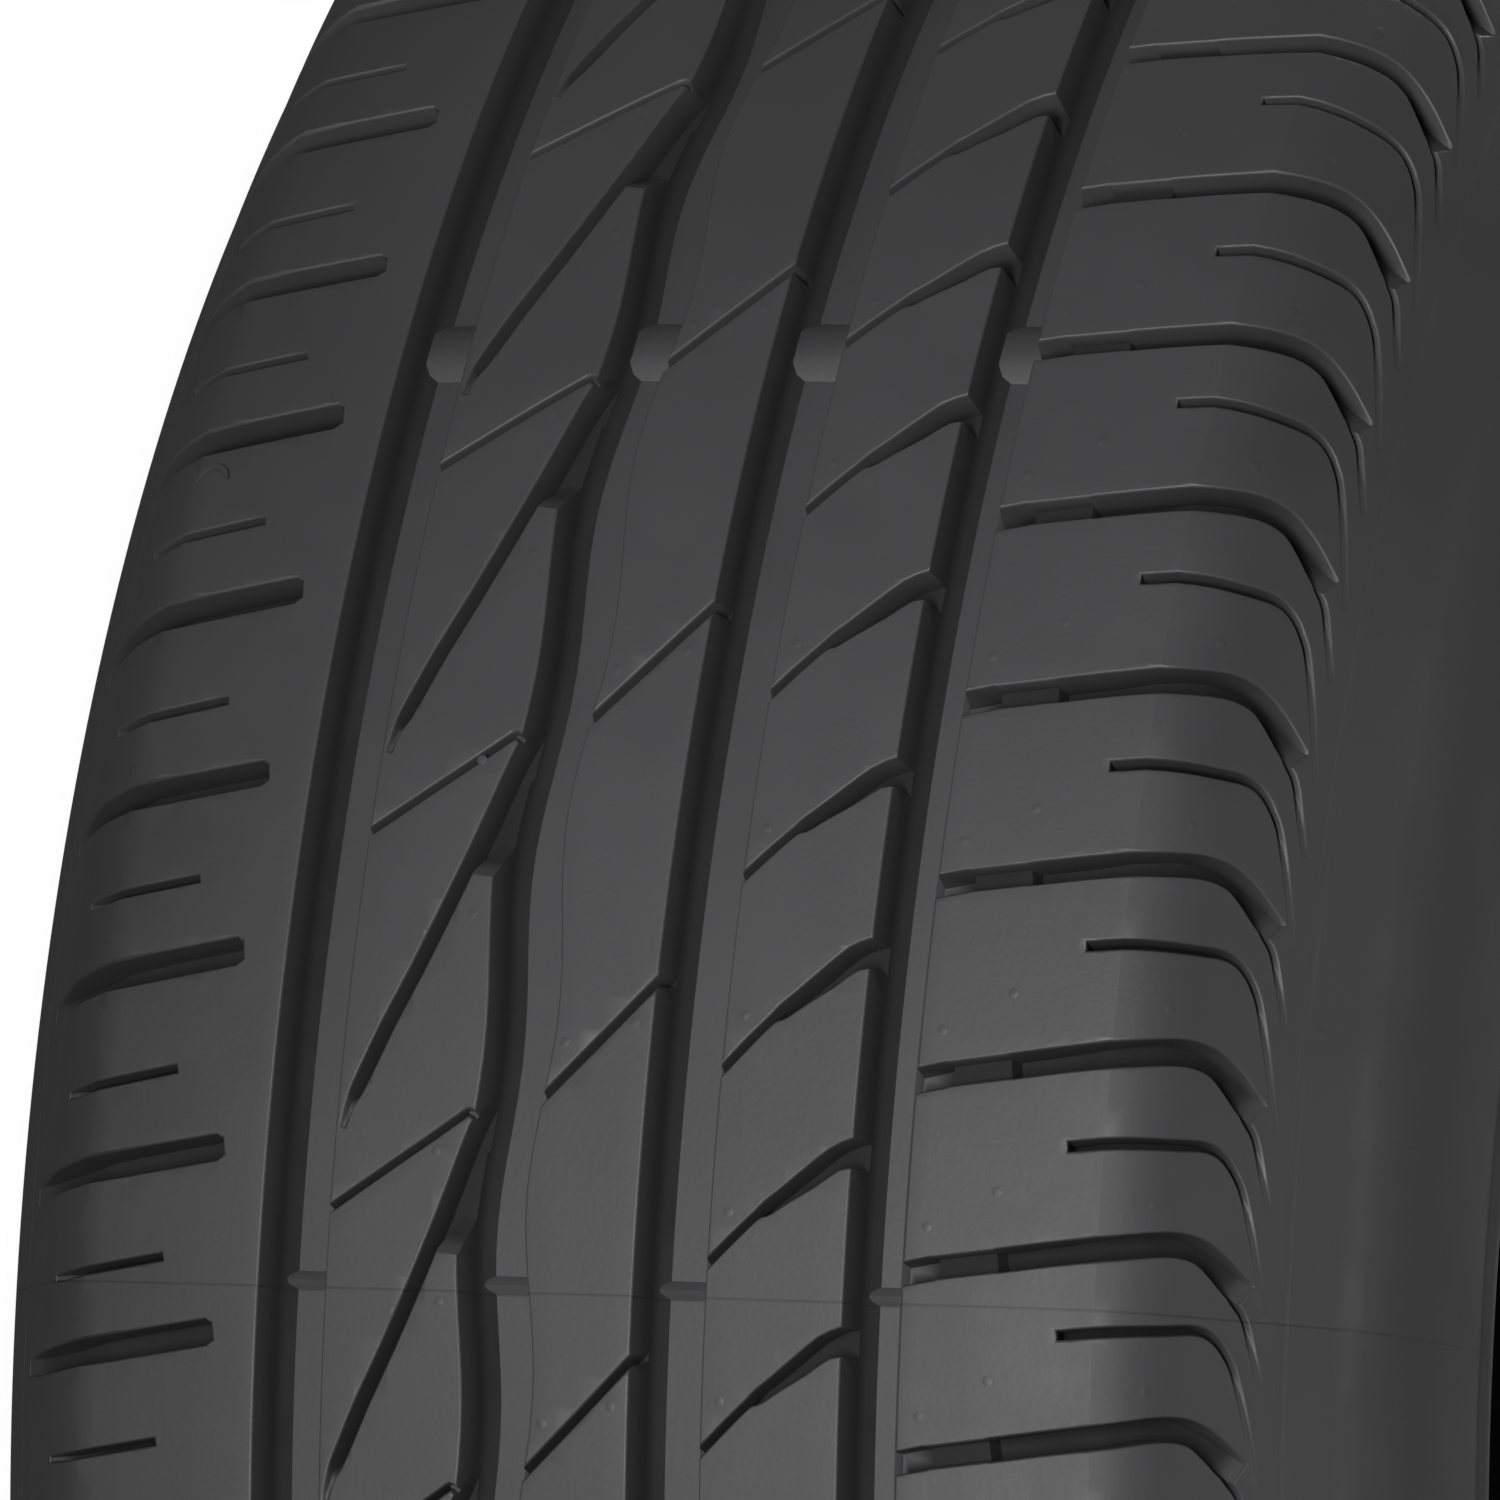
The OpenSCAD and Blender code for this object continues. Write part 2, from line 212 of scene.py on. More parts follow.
def addCutter(bm, rows, steps, shift=0, draft=0.2, levels=cutterLevels):
    # a cutter along rows of: round the tyre, across it, width, depth
    points = curveThrough(rows, steps) if steps > 1 else [Vector(row) for row in rows]
    count = len(points) - 1
    layer = bmesh.ops.create_grid(bm, x_segments=1, y_segments=count, size=1)["verts"]
    grid = {vert: (vert.co.x, round((vert.co.y + 1) / 2 * count)) for vert in layer}
    faces = list({face for vert in layer for face in vert.link_faces})
    for n in range(len(levels) + 1):
        if n:
            made = bmesh.ops.extrude_face_region(bm, geom=faces)["geom"]
            if n > 1:
                bmesh.ops.delete(bm, geom=faces, context="FACES")
            faces = [item for item in made if isinstance(item, bmesh.types.BMFace)]
            near = {(round(vert.co.x, 4), round(vert.co.y, 4)): key for vert, key in grid.items()}
            layer = [item for item in made if isinstance(item, bmesh.types.BMVert)]
            grid = {vert: near[(round(vert.co.x, 4), round(vert.co.y, 4))] for vert in layer}
        for vert, (side, k) in grid.items():
            u, s, width, depth = points[k]
            along = (points[min(k + 1, count)] - points[max(k - 1, 0)]).xy.normalized()
            rise, wider = levels[n] if n < len(levels) else (-depth, -draft)
            if n == len(levels) or rise < 0:
                rise = max(rise, -depth * (n - 1) / (len(levels) - 1))
            half = max(width / 2 + wider, narrowest)
            ends = wider * ((k == count) - (k == 0)) if wider > 0 else 0
            vert.co = (u + shift - side * half * along.y + ends * along.x,
                       s + side * half * along.x + ends * along.y, rise)


def carve(mesh, makeCutters, shifts):
    # takes cutters out of a mesh, once for each shift along it
    bm = bmesh.new()
    for shift in shifts:
        makeCutters(bm, shift)
    bmesh.ops.recalc_face_normals(bm, faces=bm.faces)
    cutters = bpy.data.meshes.new("cutters")
    bm.to_mesh(cutters)
    bm.free()
    block = bpy.data.objects.new("block", mesh)
    tool = bpy.data.objects.new("tool", cutters)
    for item in (block, tool):
        bpy.context.scene.collection.objects.link(item)
    cut = block.modifiers.new("carve", "BOOLEAN")
    cut.operation, cut.solver, cut.use_self, cut.object = "DIFFERENCE", "EXACT", True, tool
    carved = bpy.data.meshes.new_from_object(block.evaluated_get(bpy.context.evaluated_depsgraph_get()))
    for item in (block, tool):
        bpy.data.objects.remove(item)
    return carved


def grooveWall(edge, side):
    # from the rounded edge of a rib down its slanted wall to the foot, and on into the carcass
    foot, size = section["grooveFoot"], section["edgeRound"]
    straight = section["grooveDepth"] - foot
    run = straight * math.tan(math.radians(section["grooveDraft"]))
    points = [(edge - side * size, 0), (edge - side * size * 0.3, -size * 0.3), (edge, -size)]
    points.append((edge + side * run, -straight))
    for angle in section["footAngles"]:
        turn = math.radians(angle)
        points.append((edge + side * (run + foot * (1 - math.cos(turn))), -straight - foot * math.sin(turn)))
    return points + [(points[-1][0] + side * 0.5, -section["ribDepth"])]


def barMesh(outline, length, periods, stepLength, warp=None):
    # a bar along the tread, extruded from its outline station by station
    count = round(length / stepLength)
    bm = bmesh.new()
    first = -(0.5 + round(count * periods)) * length / count
    ring = [bm.verts.new((first, s, h)) for s, h in outline]
    geom = bmesh.ops.contextual_create(bm, geom=ring)["faces"]
    for step in range(2 * round(count * periods) + count + 1):
        made = bmesh.ops.extrude_face_region(bm, geom=geom)["geom"]
        if step:
            bmesh.ops.delete(bm, geom=geom, context="FACES")
        geom = [item for item in made if isinstance(item, bmesh.types.BMFace)]
        bmesh.ops.translate(bm, vec=(length / count, 0, 0),
                            verts=[item for item in made if isinstance(item, bmesh.types.BMVert)])
    if warp:
        for vert in bm.verts:
            vert.co.y += warp(vert.co.x / length, vert.co.y)
    bmesh.ops.recalc_face_normals(bm, faces=bm.faces)
    mesh = bpy.data.meshes.new("bar")
    bm.to_mesh(mesh)
    bm.free()
    return mesh


pitchStarts = [0]
for pitch in range(pitchRows * len(pitchRow)):
    pitchStarts.append(pitchStarts[-1] + (longPitch if pitchRow[pitch % len(pitchRow)] else 1))
pitchCount = len(pitchStarts) - 1
unitAngle = 2 * math.pi / pitchStarts[-1]


def bend(vert, angle, across, rise):
    radius, height = sectionPoint(across, rise)
    vert.co = (radius * math.cos(angle), radius * math.sin(angle), height)


def sunkAt(across, rise, litWall):
    # 0 on the surface and 1 deep in a slot, for painted shade and rougher rubber there; the wall that litWall names
    # is left light, without painted shade
    if litWall and litWall[0] < across < litWall[1]:
        return 0
    return ease(-rise, paintedShade["darkFrom"], paintedShade["darkTo"])


def ringOf(mesh, length, first, together, litWall=None):
    # cuts one repeat out of a bar, lays it round the tyre for so many pitches together, and bends it
    bm = bmesh.new()
    bm.from_mesh(mesh)
    bmesh.ops.remove_doubles(bm, verts=bm.verts, dist=0.002)
    for end, way in ((0, -1), (length, 1)):
        bmesh.ops.bisect_plane(bm, geom=bm.verts[:] + bm.edges[:] + bm.faces[:], dist=0.0005,
                               plane_co=(end, 0, 0), plane_no=(way, 0, 0), clear_outer=True)
    tile = bpy.data.meshes.new("tile")
    bm.to_mesh(tile)
    bm.free()
    bm = bmesh.new()
    # the sunk attribute carries the painted shade of the slots and grooves, and their extra roughness
    bm.verts.layers.float.new("sunk")
    flat = [(v.co.x / length, v.co.y, v.co.z, sunkAt(v.co.y, v.co.z, litWall)) for v in tile.vertices]
    for cell in range(first, pitchCount + first, together):
        start = pitchStarts[cell % pitchCount]
        span = sum(longPitch if pitchRow[(cell + k) % len(pitchRow)] else 1 for k in range(together))
        done = len(bm.verts)
        bm.from_mesh(tile)
        bm.verts.ensure_lookup_table()
        sunk = bm.verts.layers.float["sunk"]
        for vert, (share, across, rise, depth) in zip(bm.verts[done:], flat):
            bend(vert, -(start + share * span) * unitAngle, across, rise)
            vert[sunk] = depth
    bmesh.ops.remove_doubles(bm, verts=bm.verts, dist=0.004)
    return bm


# The carcass: groove floors, sidewalls, rim protectors, beads and inner liner
carcass = {
    "steps": 360,
    "upperBulge": 87,           # radius of the sidewall above its widest point, and below it
    "lowerBulge": 160,
    "widestRise": 57,           # above the bead seat
    "protectorRise": 27,
    "beadHeight": 92,
    "heelRadius": 6.5,
    "toeHeight": 71.5,
    "liner": [(7, 71), (14, 74.5), (21, 96.5), (33, 102), (45, 104.7), (57, 105.5), (69, 103.7), (80.2, 98.5),
              (91.2, 90.2), (97.2, 80), (100.2, 64), (103.4, 38), (104.2, 15), (104.2, 0)],
    "floorCuts": (0, 15, 30, 45, 55, 65, 75, 84, 92, 100, 107),
    "stepDepths": (-4.3, 0),    # where the tread ring of the mould ends
    "buttressCuts": (117, 120, 123),
    "protectorEdge": [(2, 0.5), (4, 0.25), (6, -0.3), (8, -1.3), (10, -2.8), (12, -4.8), (14, -7.4),
                      (15.6, -10.4)],       # down from the rim protector's edge, and out
    "ridge": (113.2, 115, 0.16),    # the line that the joint of the mould leaves: its ends and its rise
}


def bulgePoint(radius, bulge):
    away = radius - seatRadius - carcass["widestRise"]
    return radius, halfWidth - bulge + math.sqrt(bulge * bulge - away * away)


def carcassOutline():
    depth = section["grooveDepth"]
    points = [sectionPoint(s, -depth) for s in carcass["floorCuts"]]
    points += [sectionPoint(section["mouldLine"] + 0.05, rise) for rise in carcass["stepDepths"]]
    points += [sectionPoint(s, 0) for s in carcass["buttressCuts"] + (section["footAcross"],)]
    foot, widest = points[-1][0], seatRadius + carcass["widestRise"]
    low = seatRadius + carcass["protectorRise"]
    points += [bulgePoint(foot + (widest - foot) * k / 7, carcass["upperBulge"]) for k in range(1, 8)]
    for k in range(1, 9):
        radius = widest + (low - widest) * k / 8
        points.append(bulgePoint(radius, carcass["lowerBulge"]))
    edge = points[-1]
    points += [(edge[0] - down, edge[1] + out) for down, out in carcass["protectorEdge"]]
    bead, heel = carcass["beadHeight"], carcass["heelRadius"]
    points.append((seatRadius + 9.5, bead + 1))
    for angle in range(0, 91, 15):
        turn = math.radians(angle)
        points.append((seatRadius + heel * (1 - math.sin(turn)), bead - heel * (1 - math.cos(turn))))
    toe = carcass["toeHeight"]
    points += [(seatRadius, 79), (seatRadius, toe + 1.5), (seatRadius + 0.6, toe + 0.3), (seatRadius + 1.8, toe)]
    liner = curveThrough([(seatRadius + up, height) for up, height in carcass["liner"]], 3)
    return points + [tuple(point) for point in liner]


def spinOutline(bm, outline):
    ring = [bm.verts.new((radius, 0, height)) for radius, height in outline]
    edges = [bm.edges.new((ring[k - 1], ring[k])) for k in range(len(ring))]
    bmesh.ops.spin(bm, geom=ring + edges, cent=(0, 0, 0), axis=(0, 0, 1), angle=2 * math.pi,
                   steps=carcass["steps"], use_merge=True)


bm = bmesh.new()
half = carcassOutline()
spinOutline(bm, half + [(r, -h) for r, h in reversed(half) if abs(h) > 0.001])
ridgeLow, ridgeHigh, ridgeRise = carcass["ridge"]
for side in (1, -1):
    across = [(ridgeLow, -1), (ridgeLow, 0.02), (ridgeLow + 0.5, ridgeRise), (ridgeHigh - 0.5, ridgeRise),
              (ridgeHigh, 0.02), (ridgeHigh, -1)]
    spinOutline(bm, [sectionPoint(side * s, rise) for s, rise in across])
bmesh.ops.remove_doubles(bm, verts=bm.verts, dist=0.001)
newPiece("tyreCarcass", bm)

# The shoulders
shoulder = {
    "upperSlotTie": [(9.2, 49.5, 3.4, 6), (9.7, 52, 3.4, 6), (10.7, 56.6, 3.5, 6), (10.8, 57.2, 3.3, 2.6),
                     (12.1, 66, 3.3, 2.6)],
    "upperSlot": [(12.2, 66.6, 3.5, 6), (13.5, 75, 3.5, 6), (14.9, 85, 3.6, 6), (16, 92, 3.7, 6),
                  (16, 96, 3.8, 6), (15.2, 99, 4, 5.4), (13.2, 102, 4.5, 4), (10.9, 104.6, 4.7, 2.3),
                  (9, 106.9, 4.5, 0.4)],
    "upperHook": [(11.6, 101.7, 0.9, 3.6), (10.7, 102.6, 1, 3.2), (7.9, 104.9, 1, 2.4), (5.5, 106.8, 1, 1.3),
                  (0.9, 108.4, 1, 0.5), (-5.6, 110.3, 0.9, 0.12)],
    "upperSipe": [(1.1, 76.4, 1.4, 5.5), (2, 85, 1.45, 5.5), (2.6, 93, 1.45, 5.2), (3, 98.4, 1.3, 4.5),
                  (1.7, 101.8, 1.15, 3.2), (-1.5, 104.5, 1.05, 1.6), (-5, 106, 1, 0.7), (-10, 107.5, 1, 0.35),
                  (-16, 109, 0.9, 0.2), (-22, 110.4, 0.8, 0.1)],
    "lowerSlot": [(-2.2, -59.5, 2.4, 5.8), (-2.35, -60.4, 3.8, 6), (-2.5, -61.5, 4, 6), (-4.9, -75, 4, 6),
                  (-7.4, -90, 3.8, 5.2), (-8, -95, 3.6, 3.8), (-8.4, -100, 3.3, 2.2), (-8.6, -105, 3, 0.9),
                  (-8.7, -108, 2.8, 0.25)],
    "lowerSipe": [(9.2, -68.6, 1.15, 5), (7.9, -75.5, 1.15, 5), (6.7, -82, 1.15, 4.2), (6, -86, 1.1, 2.6),
                  (5.6, -90, 1, 0.4)],
    "cuts": [55, 60, 65, 70, 75, 79, 81.9, 84.5, 87, 89.5, 92, 94.2, 96.3, 100, 104, 109],
}


def shoulderOutline(edge, side):
    outer = section["mouldLine"]
    points = list(reversed(grooveWall(edge, -1))) + [(s, 0) for s in shoulder["cuts"]]
    points += [(outer, 0), (outer, -4.5), (outer - 8, -8.6)]
    return [(side * s, h) for s, h in points]


def upperSlots(bm, shift):
    addCutter(bm, shoulder["upperSlotTie"] + curveThrough(shoulder["upperSlot"], 3), 1, shift)
    addCutter(bm, shoulder["upperSipe"], 3, shift)


def upperHooks(bm, shift):
    addCutter(bm, shoulder["upperHook"], 3, shift)


def lowerSlots(bm, shift):
    addCutter(bm, shoulder["lowerSlot"], 2, shift)
    addCutter(bm, shoulder["lowerSipe"], 2, shift)


def makeShoulder(name, edge, side, cutterSets):
    mesh = barMesh(shoulderOutline(edge, side), tilePitch, 1.5, barStation)
    for makeCutters in cutterSets:
        mesh = carve(mesh, makeCutters, [k * tilePitch for k in (-1, 0, 1, 2)])
    litWall = (edge - litReach, edge + litPast) if side > 0 else None
    newPiece(name, ringOf(mesh, tilePitch, 0, 1, litWall))


makeShoulder("upperShoulder", grooveEdges[3][1], 1, (upperSlots, upperHooks))
makeShoulder("lowerShoulder", -grooveEdges[0][0], -1, (lowerSlots,))

# The three ribs between the grooves
rib = {
    "diagonal": [(1.2, -39.7, 0.7, 0.5), (3.5, -39.2, 1, 1), (5.4, -38.6, 1.5, 1.7), (6.8, -38, 2, 5.2),
                 (11.6, -36, 2.2, 6), (16.5, -34, 2.2, 6), (25.4, -30, 2.2, 6), (35.3, -26, 2.2, 6),
                 (46.2, -22, 2.2, 6), (54.1, -19.5, 2.2, 6), (59.2, -17.8, 2.2, 6), (63, -16, 2.2, 6)],
    "diagonalSipe": [(-12.4, -42.2, 1, 5), (-11.3, -40.6, 1, 5), (-3.7, -30, 1, 5), (3.7, -19.6, 1, 5)],
    "diagonalTail": [(3.2, -20.3, 1, 1.5), (3.9, -19.3, 1, 1.5), (3.3, -18.3, 1, 1.5), (2.2, -16.8, 1, 1.5)],
    "wedge": [(39.2, -18.1, 12.2, 0.15), (42.2, -17.6, 11.2, 2.6), (45.2, -17.15, 10.3, 5), (49.1, -16.4, 8.8, 5.2),
              (54.1, -15.7, 7.4, 5.3), (58.2, -15.1, 6.4, 5.3)],
    "plainSipe": [(4.1, -9.2, 1.2, 5.5), (5.6, -7.9, 1.2, 5.5), (14.6, 0.7, 1.2, 5.5), (24, 9.4, 1.2, 5.5),
                  (25.6, 10.9, 1.4, 5.5)],
    "comma": [(-20.1, 19.4, 1.1, 5.5), (-18.6, 20.9, 1.1, 5.5), (-14.3, 24.9, 1.1, 5.5), (-10.9, 28.3, 1.1, 5.5),
              (-10.2, 29.3, 1.7, 5.4), (-9.4, 30.4, 2.1, 5.4), (-7.8, 32.5, 2.3, 5.5), (-4.8, 36.5, 3.1, 5.6),
              (-1.9, 40.2, 3.5, 5.6), (-1, 43, 4.4, 5.6), (-0.9, 45.2, 5, 5.6)],
    "lowerWave": (1, 0.25),     # how far the side of the second groove swings, and where in a pair of pitches
    "upperWave": (1.3, 0.34),
    "crownCuts": 4,
}


def ribOutline(low, high):
    count = rib["crownCuts"]
    middle = [(low + (high - low) * k / count, 0) for k in range(1, count)]
    return list(reversed(grooveWall(low, -1))) + middle + grooveWall(high, 1)


def lowerWave(share, s):
    swing, peak = rib["lowerWave"]
    return swing * math.cos(2 * math.pi * (share - peak)) * ease(s, -26, -19.5)


def upperWave(share, s):
    swing, peak = rib["upperWave"]
    return swing * math.cos(2 * math.pi * (share - peak)) * (1 - ease(s, -6.5, 0))


def diagonals(bm, shift):
    addCutter(bm, rib["diagonal"], 2, shift)
    addCutter(bm, rib["diagonalSipe"], 1, shift)


def wedges(bm, shift):
    addCutter(bm, rib["wedge"], 1, shift)
    addCutter(bm, rib["diagonalTail"], 2, shift)


def plainSipes(bm, shift):
    addCutter(bm, rib["plainSipe"], 1, shift)


def commas(bm, shift):
    addCutter(bm, rib["comma"], 2, shift)


def makeRib(name, low, high, length, first, together, warp, cutterSets):
    mesh = barMesh(ribOutline(low, high), length, 1, barStation, warp)
    for makeCutters in cutterSets:
        mesh = carve(mesh, makeCutters, [k * length for k in (-1, 0, 1)])
    newPiece(name, ringOf(mesh, length, first, together, (low - litReach, low + litPast)))


makeRib("diagonalRib", grooveEdges[0][1], grooveEdges[1][0], tilePair, 1, 2, lowerWave, (diagonals, wedges))
makeRib("plainRib", grooveEdges[1][1], grooveEdges[2][0], tilePair, 1, 2, upperWave, (plainSipes,))
makeRib("commaRib", grooveEdges[2][1], grooveEdges[3][0], tilePitch, 0, 1, None, (commas,))

# Bars that cross the groove floors
bars = {
    "wear": (155.6, 11, 1.6, 6),        # distance round the tyre to the first, length, rise and count
    "joint": (4.9, 3, 0.9, 8),
    "slopeRun": 1.3,
    "reach": 53,                # how far across the tread the bars go
    "cells": (4, 12),
    "sunk": 1,                  # how far below the groove floor they start
}


def makeBars(name, start, length, rise, count):
    bm = bmesh.new()
    for k in range(count):
        done = len(bm.verts)
        bmesh.ops.create_grid(bm, x_segments=bars["cells"][0], y_segments=bars["cells"][1], size=1)
        bm.verts.ensure_lookup_table()
        faces = list({face for vert in bm.verts[done:] for face in vert.link_faces})
        top = list(bm.verts[done:])
        low = bmesh.ops.extrude_face_region(bm, geom=faces)["geom"]
        lowVerts = [item for item in low if isinstance(item, bmesh.types.BMVert)]
        for verts, isTop in ((top, True), (lowVerts, False)):
            for vert in verts:
                along = (vert.co.x + 1) / 2 * length
                slope = min(1, min(along, length - along) / bars["slopeRun"])
                up = -section["grooveDepth"] + (rise * slope - 0.05 if isTop else -bars["sunk"])
                angle = -(start + along) / treadRadius - k * 2 * math.pi / count
                bend(vert, angle, vert.co.y * bars["reach"], up)
    newPiece(name, bm)


makeBars("wearBars", *bars["wear"])
makeBars("jointBars", *bars["joint"])

# What the mould's vents and joints leave on the surface
moulded = {
    "nubSize": 0.85,
    "nubRise": 0.12,
    "perPitch": [(17, 55.5), (22.7, 66), (22, 90), (18.4, 24), (27.4, -83.5), (17.9, -83.5)],
    "perPair": [(14, -4.5), (17, 6.5), (32.3, -22), (55.4, -24)],
    "sideNubs": [(48, 117, 0.9), (5, 114.1, 1.1)],      # distance round from a mould joint, across it, and size
    "flash": [(134, -76.6, 0.5, 1), (135.3, -77.4, 1.1, 1), (136.2, -79, 1, 1), (135.4, -80.9, 0.9, 1),
              (133.4, -82, 0.4, 1)],
    "flashLevels": [(0.5, -0.1), (0.3, 0)],
}


def addNub(bm, nub, angle, across, size):
    done = len(bm.verts)
    bm.from_mesh(nub)
    bm.verts.ensure_lookup_table()
    for vert in bm.verts[done:]:
        x, y, z = vert.co
        bend(vert, angle - size * x / treadRadius, across + size * y, z * moulded["nubRise"] * size)


bm = bmesh.new()
bmesh.ops.create_uvsphere(bm, u_segments=10, v_segments=5, radius=1)
nub = bpy.data.meshes.new("nub")
bm.to_mesh(nub)
bm.free()
bm = bmesh.new()
for pitch in range(pitchCount):
    start, span = pitchStarts[pitch], pitchStarts[pitch + 1] - pitchStarts[pitch]
    for along, across in moulded["perPitch"]:
        addNub(bm, nub, -(start + span * along / tilePitch) * unitAngle, across, moulded["nubSize"])
    if pitch % 2:
        for along, across in moulded["perPair"]:
            addNub(bm, nub, -(start + span * along / tilePitch) * unitAngle, across, moulded["nubSize"])
for k in range(bars["joint"][3]):
    for along, across, size in moulded["sideNubs"]:
        for side in (1, -1):
            addNub(bm, nub, -(bars["joint"][0] + along) / treadRadius - k * 2 * math.pi / bars["joint"][3],
                   side * across, size)
newPiece("ventNubs", bm)

bm = bmesh.new()
addCutter(bm, moulded["flash"], 4, 0, 0, moulded["flashLevels"])
for vert in bm.verts:
    bend(vert, -vert.co.x / treadRadius, vert.co.y, vert.co.z)
newPiece("flash", bm)

# Rubber
rubberLook = {
    "colour": (0.037, 0.0365, 0.0385),
    "patchScale": 9,
    "patches": (0.88, 1.08),            # tone of the darker and the lighter patches
    "smearScale": 45,
    "roughness": (0.5, 0.6),
    "lowSide": (-0.09, -0.045, 0.72, 1),        # painted shade, darker towards the lower side: heights in metres, and the tone at each
    # painted light: the upper sidewall is made a little lighter, heights in metres and the tone at each
    "sidewall": (0.094, 0.104, 1, 1.02),
    "jointLine": (0.0003, 0.0008, 1, 0),        # angles in radians, and how much of the line is there
    "jointDark": 0.35,
    "jointHeight": 3,
    # painted shade deep in slots and grooves: the tone there, and below it their extra roughness
    "sunkTone": 0.2,
    "sunkRough": 0.4,
    "grainScale": 900,
    "grainBump": 0.15,
}


def addNode(nodes, kind, **values):
    node = nodes.new(kind)
    for name, value in values.items():
        if hasattr(node, name):
            setattr(node, name, value)
        else:
            node.inputs[name.replace("_", " ")].default_value = value
    return node


rubber = bpy.data.materials.new("rubber")
rubber.use_nodes = True
nodes, links = rubber.node_tree.nodes, rubber.node_tree.links
shader = nodes["Principled BSDF"]
place = addNode(nodes, "ShaderNodeTexCoord")
split = addNode(nodes, "ShaderNodeSeparateXYZ")
links.new(place.outputs["Object"], split.inputs["Vector"])


def calculate(operation, *values):
    node = addNode(nodes, "ShaderNodeMath", operation=operation)
    for k, value in enumerate(values):
        if isinstance(value, (int, float)):
            node.inputs[k].default_value = value
        else:
            links.new(value, node.inputs[k])
    return node.outputs["Value"]


def spread(value, low, high, start, end):
    # eases a value from start to end while it goes from low to high
    node = addNode(nodes, "ShaderNodeMapRange", interpolation_type="SMOOTHSTEP", From_Min=low, From_Max=high,
                   To_Min=start, To_Max=end)
    links.new(value, node.inputs["Value"])
    return node.outputs["Result"]


patches = addNode(nodes, "ShaderNodeTexNoise", Scale=rubberLook["patchScale"], Detail=3, Roughness=0.55)
links.new(place.outputs["Object"], patches.inputs["Vector"])
tone = spread(patches.outputs["Fac"], 0.3, 0.7, *rubberLook["patches"])
# painted shade: the colour darkens towards the lower side of the tyre
tone = calculate("MULTIPLY", tone, spread(split.outputs["Z"], *rubberLook["lowSide"]))
# painted light: a little lighter on the upper sidewall
tone = calculate("MULTIPLY", tone, spread(split.outputs["Z"], *rubberLook["sidewall"]))

# the line that a joint of two mould segments leaves, at eight places round the tyre
jointAngle = 2 * math.pi / bars["joint"][3]
turn = calculate("ARCTAN2", split.outputs["Y"], split.outputs["X"])
turn = calculate("ADD", turn, bars["joint"][0] / treadRadius + jointAngle * 4.5)
away = calculate("ABSOLUTE", calculate("SUBTRACT", calculate("MODULO", turn, jointAngle), jointAngle / 2))
jointLine = spread(away, *rubberLook["jointLine"])
darker = calculate("MULTIPLY", jointLine, rubberLook["jointDark"])
tone = calculate("MULTIPLY", tone, calculate("SUBTRACT", 1, darker))

# painted shade: the colour is darkened deep in slots and grooves, except on the lit walls
sunk = addNode(nodes, "ShaderNodeAttribute", attribute_name="sunk")
tone = calculate("MULTIPLY", tone, spread(sunk.outputs["Fac"], 0, 1, 1, rubberLook["sunkTone"]))
colours = addNode(nodes, "ShaderNodeVectorMath", operation="SCALE")
colours.inputs[0].default_value = rubberLook["colour"]
links.new(tone, colours.inputs["Scale"])
links.new(colours.outputs["Vector"], shader.inputs["Base Color"])

smear = addNode(nodes, "ShaderNodeTexNoise", Scale=rubberLook["smearScale"], Detail=4, Roughness=0.6)
links.new(place.outputs["Object"], smear.inputs["Vector"])
rough = spread(smear.outputs["Fac"], 0.3, 0.7, *rubberLook["roughness"])
rough = calculate("ADD", rough, calculate("MULTIPLY", sunk.outputs["Fac"], rubberLook["sunkRough"]))
links.new(rough, shader.inputs["Roughness"])
grain = addNode(nodes, "ShaderNodeTexNoise", Scale=rubberLook["grainScale"], Detail=2, Roughness=0.6)
links.new(place.outputs["Object"], grain.inputs["Vector"])
height = calculate("ADD", grain.outputs["Fac"], calculate("MULTIPLY", jointLine, rubberLook["jointHeight"]))
bump = addNode(nodes, "ShaderNodeBump", Strength=rubberLook["grainBump"], Distance=0.0002)
links.new(height, bump.inputs["Height"])
links.new(bump.outputs["Normal"], shader.inputs["Normal"])
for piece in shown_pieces():
    if piece.type == "MESH" and "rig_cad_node" not in piece:
        piece.data.materials.append(rubber)
print("rubber made")

# Floor, and a white background that only the camera sees
studio = {
    "floorSize": 6,
    "floorTone": 0.3,
    "floorGlow": 0.9,
    "softLight": 0.1,
    "lamps": [
        # azimuth and elevation in degrees, distance, size, watts and the point it faces
        ("front", 3, 10, 2.2, (1.2, 0.4), 59, (0.32, 0, 0)),       # on the tread that the camera sees
        ("backLeft", 135, 6, 2.6, (1.6, 0.5), 50, (0, 0, 0)),
        ("backRight", 225, 6, 2.6, (1.6, 0.5), 50, (0, 0, 0)),
        ("top", 180, 75, 2, (1, 1), 7, (0, 0, 0)),
    ],
    "cameraPlace": (2.27704018, 0.06816161, 0.84913838),
    "cameraRight": (-0.38524652, -0.04387901, 0.9217699),
    "cameraUp": (0.08394255, -0.99639408, -0.01234821),
    "lens": 344.568,
}
floorBm = bmesh.new()
bmesh.ops.create_grid(floorBm, x_segments=1, y_segments=1, size=studio["floorSize"])
floorMesh = bpy.data.meshes.new("floor")
floorBm.to_mesh(floorMesh)
floorBm.free()
floorMesh.transform(Matrix.Translation((0, 0, cadLow.z)))
floor = bpy.data.objects.new("floor", floorMesh)
bpy.context.scene.collection.objects.link(floor)
floorLook = bpy.data.materials.new("floor")
floorLook.use_nodes = True
nodes, links = floorLook.node_tree.nodes, floorLook.node_tree.links
matt = nodes["Principled BSDF"]
pale = studio["floorTone"]
matt.inputs["Base Color"].default_value = (pale, pale, pale, 1)
matt.inputs["Roughness"].default_value = 0.9
glow = nodes.new("ShaderNodeEmission")
